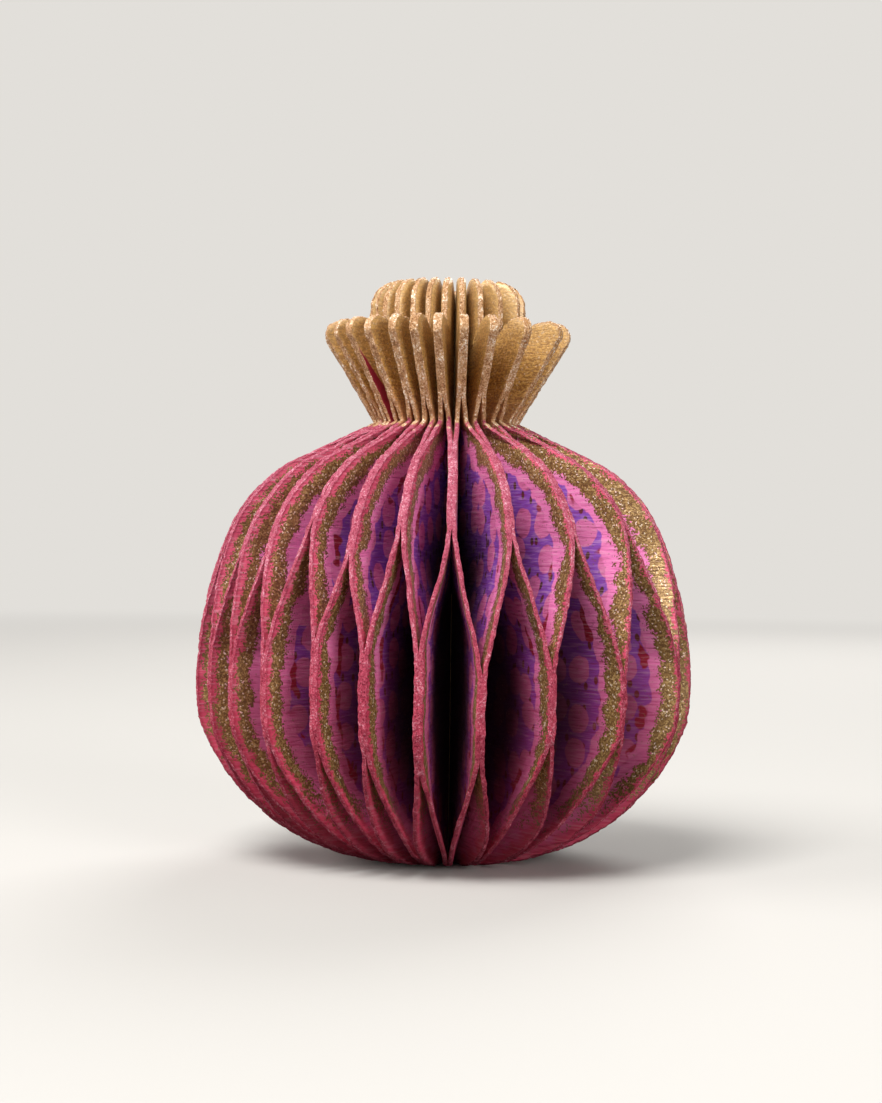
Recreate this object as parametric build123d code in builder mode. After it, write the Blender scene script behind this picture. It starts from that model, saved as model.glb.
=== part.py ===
from build123d import *
import os
from math import cos, pi, radians, sin

# Honeycomb paper ornament in the shape of a pomegranate, opened into a full round.
# Die-cut paper leaves stand on edge round a rolled spine. Every leaf is glued to one neighbour along its
# base and its shoulder, and to the other neighbour along its belly and its crown, so it swings to and fro
# between two upright glue planes and the cells open between the glued bands.
# Millimetres, +Z up, the origin on the table under the spine, the front towards -Y.

# Paper
glue_pairs = 24
leaf_thickness = 0.8
leaf_play = 0.08
binding_wall = 1.6
binding_play = 0.05

# Outline of a leaf laid flat: widths from the straight inner edge, rises from one point to the next,
# bulges of the arcs between them
base_width = 3.6
haunch_width = 35.9
haunch_rise = 24.5
haunch_bulge = 6.3
belly_width = 36.3
belly_rise = 9.5
belly_bulge = 0.25
flank_width = 30.4
flank_rise = 24.6
flank_bulge = 1.2
shoulder_width = 21.0
shoulder_rise = 10.1
shoulder_bulge = 0.9
slope_width = 15.3
slope_rise = 2.7
neck_width = 6.1
neck_rise = 4.4
throat_width = 8.5
throat_rise = 4.0
flare_width = 14.9
flare_rise = 10.3
lip_width = 11.8
lip_rise = 3.0
lip_bulge = 1.3
notch_width = 7.1
notch_drop = 3.0
outer_lobe_bulge = 0.8
cheek_width = 7.0
cheek_rise = 5.8
inner_lobe_width = 2.9
inner_lobe_rise = 4.5
inner_lobe_bulge = 1.1
spine_drop = 2.7

# Facets along each stretch of the outline
haunch_steps = 11
belly_steps = 3
flank_steps = 9
shoulder_steps = 4
neck_steps = 2
throat_steps = 2
lip_steps = 4
outer_lobe_steps = 3
inner_lobe_steps = 4

# Fans: the heights on the inner edge from which the bends of the flank and the neck fan out to the rim,
# and the length of inner edge that one bend takes up
flank_fan = 46.0
neck_fan = 75.0
fan_spread = 0.3

# Glue round the back: how far the glued bands run on, below and above, into the bends beside them
base_glue_top = 0.6
belly_glue_below = 3.4
belly_glue_above = 1.6
shoulder_glue_below = 2.6
glue_wander = 1.4
wander_turn = 137.5

# Glue planes across the front, from left to right: the heading from the front, and how far the glued band
# runs on below and above. Belly planes and shoulder planes take turns, a belly plane first.
front_planes = (
    (-66.0, 5.0, 2.0),
    (-59.2, 5.5, 0),
    (-54.7, 6.0, 1.0),
    (-48.0, 6.2, 0),
    (-42.7, 2.4, 2.0),
    (-35.2, 0, 0),
    (-28.8, 2.6, 5.0),
    (-22.8, 5.8, 0),
    (-17.2, 3.6, 3.2),
    (-10.9, 1.0, 0),
    (-5.4, 6.2, 3.4),
    (1.2, 1.4, 0),
    (8.0, 4.2, 0),
    (16.0, 2.6, 0),
    (23.7, 1.2, 1.0),
    (33.0, 2.0, 0),
    (42.7, 0.3, 0),
    (52.8, 0, 0),
    (66.7, 0.5, 0.8),
)
spine_heading = -72.0

# Bends: how soft a bend starts and stops, from 0 for straight to 1 for a full ease
bend_softness = 0.45

# The crown leans towards the front and the back by this angle at most, half way round to the sides
crown_gather = 3.5

leaf_count = 2 * glue_pairs
full_turn = 360
leaf_turn = full_turn / leaf_count
spine_radius = (leaf_thickness + leaf_play) / (2 * sin(pi / leaf_count))
rim_radius = spine_radius + belly_width
crown_radius = spine_radius + flare_width

# Heights of the outline's points
haunch_height = haunch_rise
belly_height = haunch_height + belly_rise
flank_height = belly_height + flank_rise
shoulder_height = flank_height + shoulder_rise
slope_height = shoulder_height + slope_rise
neck_height = slope_height + neck_rise
throat_height = neck_height + throat_rise
flare_height = throat_height + flare_rise
lip_height = flare_height + lip_rise
notch_height = lip_height - notch_drop
cheek_height = notch_height + cheek_rise
leaf_height = cheek_height + inner_lobe_rise
spine_height = leaf_height - spine_drop


def heading(angle):
    """Level direction at an angle from the front, positive towards +X."""
    return Vector(sin(radians(angle)), -cos(radians(angle)), 0)


def square_to(run):
    """Level direction square to a level run, on the side of growing headings."""
    return Vector(-run.Y, run.X, 0).normalized()


def eased(value, start, end):
    """Share of the way from start to end, held at 0 before and 1 after, with a soft start and stop."""
    share = min(max((value - start) / (end - start), 0), 1)
    full_ease = share * share * (3 - 2 * share)
    return share + bend_softness * (full_ease - share)


# Outline of the flat leaf, from its base round to the top of its crown
with BuildLine(Plane.XZ) as outline:
    haunch = SagittaArc((base_width, 0), (haunch_width, haunch_height), -haunch_bulge)
    belly = SagittaArc((haunch_width, haunch_height), (belly_width, belly_height), -belly_bulge)
    flank = SagittaArc((belly_width, belly_height), (flank_width, flank_height), -flank_bulge)
    shoulder = SagittaArc((flank_width, flank_height), (shoulder_width, shoulder_height), -shoulder_bulge)
    slope = Line((shoulder_width, shoulder_height), (slope_width, slope_height))
    neck = Line((slope_width, slope_height), (neck_width, neck_height))
    throat = Line((neck_width, neck_height), (throat_width, throat_height))
    flare = Line((throat_width, throat_height), (flare_width, flare_height))
    lip = SagittaArc((flare_width, flare_height), (lip_width, lip_height), -lip_bulge)
    outer_lobe = SagittaArc((lip_width, lip_height), (notch_width, notch_height), -outer_lobe_bulge)
    cheek = Line((notch_width, notch_height), (cheek_width, cheek_height))
    inner_lobe = SagittaArc((cheek_width, cheek_height), (inner_lobe_width, leaf_height), -inner_lobe_bulge)

# Fans of a leaf, from the base up: the height of the foot on the inner edge, and the stretches of the rim
# that it fans out to. Bends and glued bands take turns, a bend first.
fans = (
    (0, ((haunch, haunch_steps),)),
    (fan_spread, ((belly, belly_steps),)),
    (flank_fan, ((flank, flank_steps),)),
    (flank_fan + fan_spread, ((shoulder, shoulder_steps), (slope, 1))),
    (neck_fan, ((neck, neck_steps), (throat, throat_steps))),
    (
        neck_fan + fan_spread,
        (
            (flare, 1),
            (lip, lip_steps),
            (outer_lobe, outer_lobe_steps),
            (cheek, 1),
            (inner_lobe, inner_lobe_steps),
        ),
    ),
)
rim_points = [haunch @ 0]
feet = []
for foot_height, stretches in fans:
    feet.append((len(rim_points) - 1, foot_height))
    for stretch, steps in stretches:
        rim_points += [stretch @ ((step + 1) / steps) for step in range(steps)]
feet.append((len(rim_points) - 1, spine_height))

# Glue planes all the way round: the hand-set front, then even steps round the back
glue_headings = [plane[0] for plane in front_planes]
glue_runs = [plane[1:] for plane in front_planes]
back_steps = leaf_count - len(front_planes) + 1
back_turn = (full_turn + glue_headings[0] - glue_headings[-1]) / back_steps
for step in range(1, back_steps):
    wander = glue_wander * sin(radians(wander_turn * step))
    if len(glue_headings) % 2 == 0:
        glue_runs.append((belly_glue_below + wander, belly_glue_above + wander))
    else:
        glue_runs.append((shoulder_glue_below + wander, 0))
    glue_headings.append(glue_headings[-1] + back_turn)

plane_feet = [spine_radius * heading(spine_heading + leaf_turn * plane) for plane in range(leaf_count)]
plane_runs = [
    (rim_radius * heading(angle) - foot).normalized() for angle, foot in zip(glue_headings, plane_feet)
]
crown_headings = [angle - crown_gather * sin(radians(2 * angle)) for angle in glue_headings]
crown_runs = [
    (crown_radius * heading(angle) - foot).normalized() for angle, foot in zip(crown_headings, plane_feet)
]


def plane_run(plane, height):
    """Level direction of a glue plane at a height; above the shoulder a belly plane turns to the crown."""
    in_crown = plane % 2 == 0 and height > shoulder_height
    return crown_runs[plane] if in_crown else plane_runs[plane]


def leaf_swing(leaf, height):
    """How far a leaf has swung from its own glue plane, 0, to the next one, 1, at a height of its rim."""
    following = (leaf + 1) % leaf_count
    belly_first = leaf % 2 == 0
    belly_plane, shoulder_plane = (leaf, following) if belly_first else (following, leaf)
    belly_below, belly_above = glue_runs[belly_plane]
    shoulder_below, shoulder_above = glue_runs[shoulder_plane]
    to_belly = eased(height, base_glue_top, haunch_height - belly_below)
    to_shoulder = eased(height, belly_height + belly_above, flank_height - shoulder_below)
    to_crown = eased(height, slope_height + shoulder_above, throat_height)
    on_belly_plane = to_belly - to_shoulder + to_crown
    return 1 - on_belly_plane if belly_first else on_belly_plane


def leaf_corner(leaf, swing, width, height, face):
    """Point on the face of a leaf towards its own glue plane, -1, or towards the next one, 1."""
    following = (leaf + 1) % leaf_count
    own_run = plane_run(leaf, height)
    next_run = plane_run(following, height)
    own_foot = plane_feet[leaf] + square_to(own_run) * (leaf_thickness / 2)
    next_foot = plane_feet[following] - square_to(next_run) * (leaf_thickness / 2)
    foot = own_foot + (next_foot - own_foot) * swing
    run = own_run + (next_run - own_run) * swing
    return foot + run * width + square_to(run) * (face * leaf_thickness / 2) + Vector(0, 0, height)


def facet(*corners):
    """Flat face with the given corners."""
    return Face(Wire.make_polygon(corners))


def leaf_facets(leaf):
    """Flat facets that enclose one leaf: its two faces, fan by fan, and the cut edge round them."""
    facets = []
    edges = []
    swings = [leaf_swing(leaf, point.Z) for point in rim_points]
    for face in (-1, 1):
        rim = [leaf_corner(leaf, swing, point.X, point.Z, face) for swing, point in zip(swings, rim_points)]
        spine = [leaf_corner(leaf, swings[station], 0, height, face) for station, height in feet]
        for fan in range(len(fans)):
            first, last = feet[fan][0], feet[fan + 1][0]
            for station in range(first, last):
                facets.append(facet(spine[fan], rim[station], rim[station + 1]))
            facets.append(facet(spine[fan], rim[last], spine[fan + 1]))
        edges.append(rim + spine[::-1])
    own_edge, next_edge = edges
    for corner in range(len(own_edge)):
        facets.append(facet(own_edge[corner - 1], next_edge[corner - 1], next_edge[corner]))
        facets.append(facet(own_edge[corner - 1], next_edge[corner], own_edge[corner]))
    return facets


os.makedirs("parts", exist_ok=True)

# Leaves
for leaf in range(leaf_count):
    with BuildPart() as paper_leaf:
        add(Solid(Shell(leaf_facets(leaf))))
    paper_leaf.part.label = f"leaf_{leaf + 1:02d}"
    export_step(paper_leaf.part, f"parts/{paper_leaf.part.label}.step")

# Spine binding: a rolled paper strip inside the ring of inner edges
inner_corners = [
    leaf_corner(leaf, swing, 0, height, face)
    for leaf in range(leaf_count)
    for height in (0, spine_height)
    for swing in (0, 1)
    for face in (-1, 1)
]
binding_radius = min(Vector(corner.X, corner.Y, 0).length for corner in inner_corners) - binding_play
with BuildPart() as spine_binding:
    with BuildSketch():
        Circle(binding_radius)
        Circle(binding_radius - binding_wall, mode=Mode.SUBTRACT)
    extrude(amount=spine_height)
spine_binding.part.label = "spine_binding"
export_step(spine_binding.part, "parts/spine_binding.step")
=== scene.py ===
import logging
from dataclasses import dataclass, field
from enum import Enum
from math import atan2, hypot, pi, radians, sin

import bpy
import numpy as np
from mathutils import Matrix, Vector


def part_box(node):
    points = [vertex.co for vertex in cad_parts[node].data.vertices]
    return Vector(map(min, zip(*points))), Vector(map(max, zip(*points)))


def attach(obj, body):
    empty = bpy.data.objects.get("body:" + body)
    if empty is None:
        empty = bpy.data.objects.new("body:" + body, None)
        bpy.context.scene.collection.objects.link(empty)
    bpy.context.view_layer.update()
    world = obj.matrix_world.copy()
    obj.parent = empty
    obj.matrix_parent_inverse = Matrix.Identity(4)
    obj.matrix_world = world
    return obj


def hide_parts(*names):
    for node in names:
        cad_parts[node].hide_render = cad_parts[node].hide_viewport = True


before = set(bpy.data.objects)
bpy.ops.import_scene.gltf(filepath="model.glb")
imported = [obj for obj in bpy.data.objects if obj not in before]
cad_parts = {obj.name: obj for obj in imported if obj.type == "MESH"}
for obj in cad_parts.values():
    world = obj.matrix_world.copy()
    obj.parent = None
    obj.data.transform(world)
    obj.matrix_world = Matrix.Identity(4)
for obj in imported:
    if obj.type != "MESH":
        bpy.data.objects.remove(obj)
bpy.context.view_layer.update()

# Honeycomb paper ornament in the shape of a pomegranate: 48 die-cut leaves of thick rag paper round a
# rolled spine, glued in turn to the neighbour on either side. Sizes are millimetres until a mesh is written.

MM = 0.001
BODY = "root"
NodeTree = bpy.types.NodeTree
Socket = bpy.types.NodeSocket

# Settings that many nodes share
SOFT_STEP = {"interpolation_type": "SMOOTHSTEP"}
COLOUR_MIX = {"data_type": "RGBA"}
FLAT_CELLS = {"voronoi_dimensions": "2D"}
MULTIPLY = {"operation": "MULTIPLY"}
MULTIPLY_ADD = {"operation": "MULTIPLY_ADD"}
DIVIDE = {"operation": "DIVIDE"}

log = logging.getLogger("honeycomb ornament")


class Side(Enum):
    """Faces of a leaf: the one towards its own glue plane and the one towards the next plane."""

    OWN = -1
    NEXT = 1


class Skin(Enum):
    """Material slots of a leaf: its two printed faces and the cut edge round them."""

    FACE = 0
    EDGE = 1


def linear(hex_colour: str) -> tuple[float, float, float, float]:
    """Turn an sRGB hex value into a linear colour, by the curve of the sRGB standard.

    Args:
        hex_colour: Colour as "#RRGGBB".

    Returns:
        Linear red, green, blue and a full alpha.
    """
    shares = [int(hex_colour[place : place + 2], 16) / 255 for place in (1, 3, 5)]
    low = [share / 12.92 for share in shares]
    high = [((share + 0.055) / 1.055) ** 2.4 for share in shares]
    return (*(a if share <= 0.04045 else b for share, a, b in zip(shares, low, high)), 1.0)


def add_node(
    tree: NodeTree,
    kind: str,
    settings: dict[str, object] | None = None,
    inputs: dict[str | int, object] | None = None,
    stops: tuple[tuple[float, str], ...] = (),
    output: str = "",
) -> Socket | None:
    """Add a node with its settings and links.

    Args:
        tree: Node tree that takes the node.
        kind: Type of the node, without Blender's ShaderNode in front.
        settings: Values of the node's own properties.
        inputs: For each input, a constant, or the output of another node to link.
        stops: Places and hex colours along a colour ramp.
        output: Name of the output to hand back, where it isn't the first one in use.

    Returns:
        That output, or None from a node that ends its tree.
    """
    node = tree.nodes.new(f"ShaderNode{kind}")
    for name, value in (settings or {}).items():
        setattr(node, name, value)
    for key, value in (inputs or {}).items():
        if isinstance(value, Socket):
            tree.links.new(value, node.inputs[key])
        else:
            node.inputs[key].default_value = value
    for index, (place, hex_colour) in enumerate(stops):
        ramp = node.color_ramp.elements
        # A new ramp comes with two stops.
        stop = ramp[index] if index < 2 else ramp.new(place)
        stop.position = place
        stop.color = linear(hex_colour)
    if output:
        return node.outputs[output]
    return next((socket for socket in node.outputs if socket.enabled), None)


def new_material(name: str) -> tuple[bpy.types.Material, NodeTree]:
    """Start a material with an empty node tree.

    Args:
        name: Name of the material.

    Returns:
        The material and its node tree.
    """
    material = bpy.data.materials.new(name)
    material.use_nodes = True
    material.node_tree.nodes.clear()
    return material, material.node_tree


def background_rays(tree: NodeTree) -> Socket:
    """Tell the rays that meet the pale background from those that only carry light.

    Args:
        tree: Node tree of the floor or the world.

    Returns:
        1 for rays from the camera and for those that gloss or glass sends on, and 0 for the rest.
    """
    seen, *sent = (
        add_node(tree, "LightPath", output=f"Is {kind} Ray") for kind in ("Camera", "Glossy", "Transmission")
    )
    for ray in sent:
        seen = add_node(tree, "Math", {"operation": "MAXIMUM"}, {0: seen, 1: ray})
    return seen


@dataclass(frozen=True)
class PrintSockets:
    """Sockets that the layers of the print share."""

    tree: NodeTree
    # Place on the printed sheet
    spot: Socket
    # Distance from the rim, height above the table, and 1 on a leaf whose crown the gold missed in part
    rim: Socket
    height: Socket
    bare: Socket
    # Slow noise of the hand printing, the distance from the rim with it, and the noise of the ink's amount
    wander: Socket
    reach: Socket
    patches: Socket
    # Level streaks of the laid paper, and the random number of each flake
    streaks: Socket
    pick: Socket


@dataclass(frozen=True)
class PrintedRagPaper:
    """Face of a leaf: mould-made cotton rag paper with a laid surface, block-printed by hand.

    The eye gets a matt, slightly uneven ink over fine level streaks, with a rough band of gold flake near
    the rim, a pale pink border, a violet ground with round blots and small dark ticks, and a crown that is
    gold all over. Painted light sits on it too: glints among the flakes, a shadow along the cut, and shade
    that darkens the face away from the rim and turns it a darker red low on the leaf.
    """

    rim_pink: str = "#CE506C"
    # Painted shadow along the cut edge
    cut_shadow_tone: str = "#7A1A2E"
    border_pink: str = "#DE78AE"
    pale_streak: str = "#E8B8C8"
    crack_dark: str = "#7A1C3C"
    crimson: str = "#86182A"
    ground_violet: str = "#8E50B2"
    deep_violet: str = "#7440A0"
    blot_pink: str = "#CC6C9C"
    # Painted shade: near black away from the rim, and a darker red low on the leaf
    cell_shade_tone: str = "#1C0C18"
    low_shade_red: str = "#A81C36"
    tick_brown: str = "#4A2A22"
    crown_gold: str = "#CE9A4C"
    crown_shade: str = "#8C5A22"
    crown_pale: str = "#D6B680"
    crown_tint: str = "#BE7A70"
    # Tones of the gold flakes, of which the palest, near white, is a painted glint
    flake_tones_and_glint: tuple[str, ...] = ("#745432", "#927040", "#BE9C64", "#F8EAD4")
    flake_places: tuple[float, ...] = (0.15, 0.55, 0.9, 0.985)
    # Distances from the rim, for the print, the painted shadow along the cut and the painted shade away from
    # the rim, and how far the printing wanders from them
    cut_shadow_width: float = 0.6
    band_start: float = 0.9
    band_end: float = 3.5
    border_end: float = 5.5
    crimson_end: float = 6.9
    cell_shade_start: float = 9.0
    cell_shade_end: float = 24.0
    band_wander: float = 1.7
    band_thin: float = 5.0
    border_blur: float = 0.15
    band_blur: float = 0.75
    # Heights, and how much nearer the rim the painted shade comes low on the leaf
    low_shade_start: float = 50.0
    low_shade_end: float = 22.0
    low_shade_reach: float = 8.5
    band_gone: float = 5.0
    band_full: float = 18.0
    band_fade_wander: float = 14.0
    crown_start: float = 75.1
    crown_wander: float = 2.0
    tint_end: float = 82.0
    pale_end: float = 97.0
    bare_top: float = 88.0
    bare_slope: float = 4.0
    # Sizes of the patterns
    patch_size: float = 8.0
    wander_size: float = 3.4
    blot_spacing: float = 6.4
    blot_scatter: float = 0.5
    blot_reach: float = 0.37
    blot_ragged: float = 0.24
    blot_blur: float = 0.02
    tick_spacing: tuple[float, float] = (2.6, 4.0)
    tick_reach: float = 0.17
    tick_blur: float = 0.03
    flake_size: float = 0.24
    flake_blur: float = 0.04
    tooth_size: float = 0.3
    # Real laid lines stand about 0.25 mm apart, too fine for the picture, so the streaks are drawn coarser.
    streak_size: tuple[float, float] = (5.0, 0.42)
    # The weave of the gold brush is nearer 0.2 mm, and is drawn coarser for the same reason.
    canvas_size: tuple[float, float] = (0.62, 0.34)
    # Tones of the noise between which a layer comes in, and the cover that it reaches
    crimson_patch: tuple[float, float] = (0.55, 0.58)
    thin_ink: tuple[float, float, float] = (0.5, 0.7, 0.28)
    cracked_ink: tuple[float, float, float] = (0.42, 0.28, 0.5)
    brush_marks: tuple[float, float] = (0.42, 0.58)
    # Covers of the painted shadow along the cut, of the painted shade away from the rim and of the painted
    # shade low on the leaf
    cut_shadow_cover: float = 0.75
    cell_shade_cover: float = 0.92
    low_shade_cover: float = 0.45
    pale_cover: float = 0.5
    tint_cover: float = 0.45
    speckle: float = 0.22
    canvas_share: float = 0.7
    # Metallic of the band and of the crown, then roughness and gloss of the ink and of the gold
    metallic: tuple[float, float] = (0.4, 0.12)
    roughness: tuple[float, float] = (0.62, 0.4)
    gloss: tuple[float, float] = (0.3, 0.8)
    # Strength and depth of the relief
    grain_relief: tuple[float, float] = (0.6, 0.12)
    tooth_relief: tuple[float, float] = (0.45, 0.06)
    grit_relief: tuple[float, float] = (0.3, 0.05)

    def material(self) -> bpy.types.Material:
        """Build the material.

        Returns:
            Material that reads the leaf's "print" and "place" attributes.
        """
        made, tree = new_material("block-printed laid rag paper")
        sheet = self.sockets(tree)
        inked, band, crown = self.ink(sheet), self.band(sheet), self.crown(sheet)
        missed = self.missed(sheet, crown)
        inked = add_node(tree, "Mix", COLOUR_MIX, {0: missed, 6: inked, 7: linear(self.crimson)})
        band, crown = (
            add_node(tree, "Math", {"operation": "SUBTRACT", "use_clamp": True}, {0: cover, 1: missed})
            for cover in (band, crown)
        )
        # Gold paint on the crown fills the streaks and leaves a fine canvas-like mottle.
        canvas = self.drawn_out(tree, sheet.spot, self.canvas_size)
        painted = add_node(tree, "Math", MULTIPLY, {0: crown, 1: self.canvas_share})
        grain = add_node(tree, "Mix", None, {0: painted, 2: sheet.streaks, 3: canvas})
        gold = add_node(tree, "Math", {"operation": "MAXIMUM"}, {0: band, 1: crown})
        metal, roughness, gloss = (
            add_node(tree, "MapRange", None, {"Value": cover, "To Min": without, "To Max": under})
            for cover, (without, under) in (
                (crown, self.metallic), (gold, self.roughness), (gold, self.gloss),
            )
        )
        metallic = add_node(tree, "Math", MULTIPLY, {0: metal, 1: gold})
        shader = add_node(
            tree, "BsdfPrincipled", None,
            {"Base Color": self.gild(sheet, inked, band, crown, grain), "Metallic": metallic,
             "Roughness": roughness, "Specular IOR Level": gloss, "Normal": self.relief(sheet, grain, gold)},
        )
        add_node(tree, "OutputMaterial", None, {"Surface": shader})
        return made

    def sockets(self, tree: NodeTree) -> PrintSockets:
        """Read the leaf's attributes and draw the patterns that the layers share.

        Args:
            tree: Node tree of the material.

        Returns:
            The sockets of both.
        """
        spot, place = (
            add_node(tree, "Attribute", {"attribute_name": name}, output="Vector")
            for name in ("print", "place")
        )
        rim, height, bare = (
            add_node(tree, "SeparateXYZ", None, {"Vector": place}, output=axis) for axis in "XYZ"
        )
        wander, patches = (
            add_node(tree, "TexNoise", None, {"Vector": spot, "Scale": 1 / size, "Detail": detail})
            for size, detail in ((self.wander_size, 3.0), (self.patch_size, 2.0))
        )
        # Hand printing never follows the rim exactly, so the borders wander.
        drift = add_node(
            tree, "MapRange", {"clamp": False},
            {"Value": wander, "To Min": -self.band_wander, "To Max": self.band_wander},
        )
        reach = add_node(tree, "Math", {"operation": "ADD"}, {0: rim, 1: drift})
        # Level streaks of the laid paper, where the ink sits thin or thick
        streaks = self.drawn_out(tree, spot, self.streak_size)
        # Flakes of gold, each with its own tone and tilt
        flakes = add_node(
            tree, "TexVoronoi", FLAT_CELLS, {"Vector": spot, "Scale": 1 / self.flake_size}, output="Color"
        )
        pick = add_node(tree, "SeparateColor", None, {"Color": flakes})
        return PrintSockets(tree, spot, rim, height, bare, wander, reach, patches, streaks, pick)

    @staticmethod
    def drawn_out(tree: NodeTree, spot: Socket, size: tuple[float, float]) -> Socket:
        """Draw a noise that is longer along the sheet than up it.

        Args:
            tree: Node tree of the material.
            spot: Place on the printed sheet.
            size: Size of the pattern along the sheet and up it.

        Returns:
            Tone of the noise.
        """
        scaled = add_node(tree, "VectorMath", DIVIDE, {0: spot, 1: (*size, 1.0)})
        return add_node(
            tree, "TexNoise", {"noise_dimensions": "2D"},
            {"Vector": scaled, "Scale": 1.0, "Detail": 2.0, "Roughness": 0.6},
        )

    def ink(self, sheet: PrintSockets) -> Socket:
        """Print the ground, its blots and ticks, and the borders out to the rim, and paint in shadow and
        shade.

        Args:
            sheet: Sockets that the layers share.

        Returns:
            Colour of the inks, with the painted shadow and shade.
        """
        tree, reach = sheet.tree, sheet.reach
        blots = add_node(
            tree, "TexVoronoi", FLAT_CELLS,
            {"Vector": sheet.spot, "Scale": 1 / self.blot_spacing, "Randomness": self.blot_scatter},
        )
        ragged = add_node(tree, "Math", MULTIPLY_ADD, {0: sheet.wander, 1: self.blot_ragged, 2: blots})
        blot_edge = self.blot_reach + self.blot_ragged / 2
        tick_spot = add_node(tree, "VectorMath", DIVIDE, {0: sheet.spot, 1: (*self.tick_spacing, 1.0)})
        ticks = add_node(tree, "TexVoronoi", FLAT_CELLS, {"Vector": tick_spot, "Scale": 1.0})
        # Painted shade: the face darkens away from the rim towards the spine, sooner low on the leaf, and low
        # down it also turns a darker red.
        low = add_node(
            tree, "MapRange", SOFT_STEP,
            {"Value": sheet.height, "From Min": self.low_shade_start, "From Max": self.low_shade_end},
        )
        low_shade_mask = add_node(tree, "Math", MULTIPLY, {0: low, 1: self.low_shade_cover})
        deep = add_node(tree, "Math", MULTIPLY_ADD, {0: low, 1: self.low_shade_reach, 2: reach})
        # A painted shadow runs along the cut, and is the last but one of these.
        tick, blot, patch, crimson_reach, border, outer, cut, cell_shade = (
            add_node(
                tree, "MapRange", SOFT_STEP,
                {"Value": value, "From Min": none, "From Max": full, "To Max": most},
            )
            for value, none, full, most in (
                (ticks, self.tick_reach + self.tick_blur, self.tick_reach - self.tick_blur, 1.0),
                (ragged, blot_edge + self.blot_blur, blot_edge - self.blot_blur, 1.0),
                (sheet.patches, *self.crimson_patch, 1.0),
                (reach, self.crimson_end + self.border_blur, self.crimson_end - self.border_blur, 1.0),
                (reach, self.border_end + self.border_blur, self.border_end - self.border_blur, 1.0),
                (reach, self.band_end, self.band_start, 1.0),
                (sheet.rim, self.cut_shadow_width, 0.0, self.cut_shadow_cover),
                (deep, self.cell_shade_start, self.cell_shade_end, self.cell_shade_cover),
            )
        )
        crimson = add_node(tree, "Math", MULTIPLY, {0: patch, 1: crimson_reach})
        thin, crack = (
            add_node(
                tree, "MapRange", None,
                {"Value": sheet.streaks, "From Min": none, "From Max": full, "To Max": most},
            )
            for none, full, most in (self.thin_ink, self.cracked_ink)
        )
        colour = add_node(
            tree, "Mix", COLOUR_MIX,
            {0: sheet.patches, 6: linear(self.deep_violet), 7: linear(self.ground_violet)},
        )
        for cover, hex_colour in (
            (tick, self.tick_brown), (blot, self.blot_pink), (crimson, self.crimson),
            (border, self.border_pink), (outer, self.rim_pink), (cut, self.cut_shadow_tone),
            (thin, self.pale_streak), (crack, self.crack_dark), (low_shade_mask, self.low_shade_red),
            (cell_shade, self.cell_shade_tone),
        ):
            colour = add_node(tree, "Mix", COLOUR_MIX, {0: cover, 6: colour, 7: linear(hex_colour)})
        return colour

    def band(self, sheet: PrintSockets) -> Socket:
        """Lay the band of flake along the rim, broken up towards both its sides and worn off low on the leaf.

        Args:
            sheet: Sockets that the layers share.

        Returns:
            1 where there is a flake of the band, and 0 elsewhere.
        """
        tree = sheet.tree
        thinned, worn = (
            add_node(tree, "Math", MULTIPLY_ADD, {0: sheet.patches, 1: amount, 2: value})
            for amount, value in ((self.band_thin, sheet.reach), (self.band_fade_wander, sheet.height))
        )
        thin_end, fade_shift = self.band_end + self.band_thin / 2, self.band_fade_wander / 2
        cover, *sides = (
            add_node(tree, "MapRange", SOFT_STEP, {"Value": value, "From Min": none, "From Max": full})
            for value, none, full in (
                (sheet.reach, self.band_start - self.band_blur, self.band_start + self.band_blur),
                (thinned, thin_end + self.band_blur, thin_end - self.band_blur),
                (worn, self.band_gone + fade_shift, self.band_full + fade_shift),
            )
        )
        for side in sides:
            cover = add_node(tree, "Math", MULTIPLY, {0: cover, 1: side})
        spare = add_node(tree, "Math", {"operation": "SUBTRACT"}, {0: cover, 1: sheet.pick})
        return add_node(
            tree, "MapRange", None,
            {"Value": spare, "From Min": -self.flake_blur, "From Max": self.flake_blur},
        )

    def crown(self, sheet: PrintSockets) -> Socket:
        """Paint the crown from an uneven line at the neck up.

        Args:
            sheet: Sockets that the layers share.

        Returns:
            1 on the crown, and 0 below it.
        """
        edge = add_node(
            sheet.tree, "Math", MULTIPLY_ADD, {0: sheet.wander, 1: self.crown_wander, 2: sheet.height}
        )
        start = self.crown_start + self.crown_wander / 2
        return add_node(
            sheet.tree, "MapRange", SOFT_STEP,
            {"Value": edge, "From Min": start - self.band_blur, "From Max": start + self.band_blur},
        )

    def missed(self, sheet: PrintSockets, crown: Socket) -> Socket:
        """Find the strip along the rim of the crown that the gold missed on a few leaves.

        Args:
            sheet: Sockets that the layers share.
            crown: Cover of the crown.

        Returns:
            1 on such a strip, and 0 elsewhere.
        """
        tree = sheet.tree
        wedge = add_node(tree, "Math", MULTIPLY_ADD, {0: sheet.rim, 1: self.bare_slope, 2: sheet.height})
        strip = add_node(
            tree, "MapRange", SOFT_STEP,
            {"Value": wedge, "From Min": self.bare_top + self.band_blur,
             "From Max": self.bare_top - self.band_blur},
        )
        bare = sheet.bare
        for cover in (strip, crown):
            bare = add_node(tree, "Math", MULTIPLY, {0: bare, 1: cover})
        return bare

    def gild(self, sheet: PrintSockets, inked: Socket, band: Socket, crown: Socket, grain: Socket) -> Socket:
        """Put the gold of the band and of the crown over the inks.

        Args:
            sheet: Sockets that the layers share.
            inked: Colour of the inks.
            band: Cover of the band along the rim.
            crown: Cover of the crown.
            grain: Grain of the paper or of the paint on it.

        Returns:
            Colour of the whole face.
        """
        tree, height = sheet.tree, sheet.height
        # The palest flake tone is a painted glint.
        flake = add_node(
            tree, "ValToRGB", None, {"Fac": sheet.pick}, tuple(zip(self.flake_places, self.flake_tones_and_glint))
        )
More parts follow.
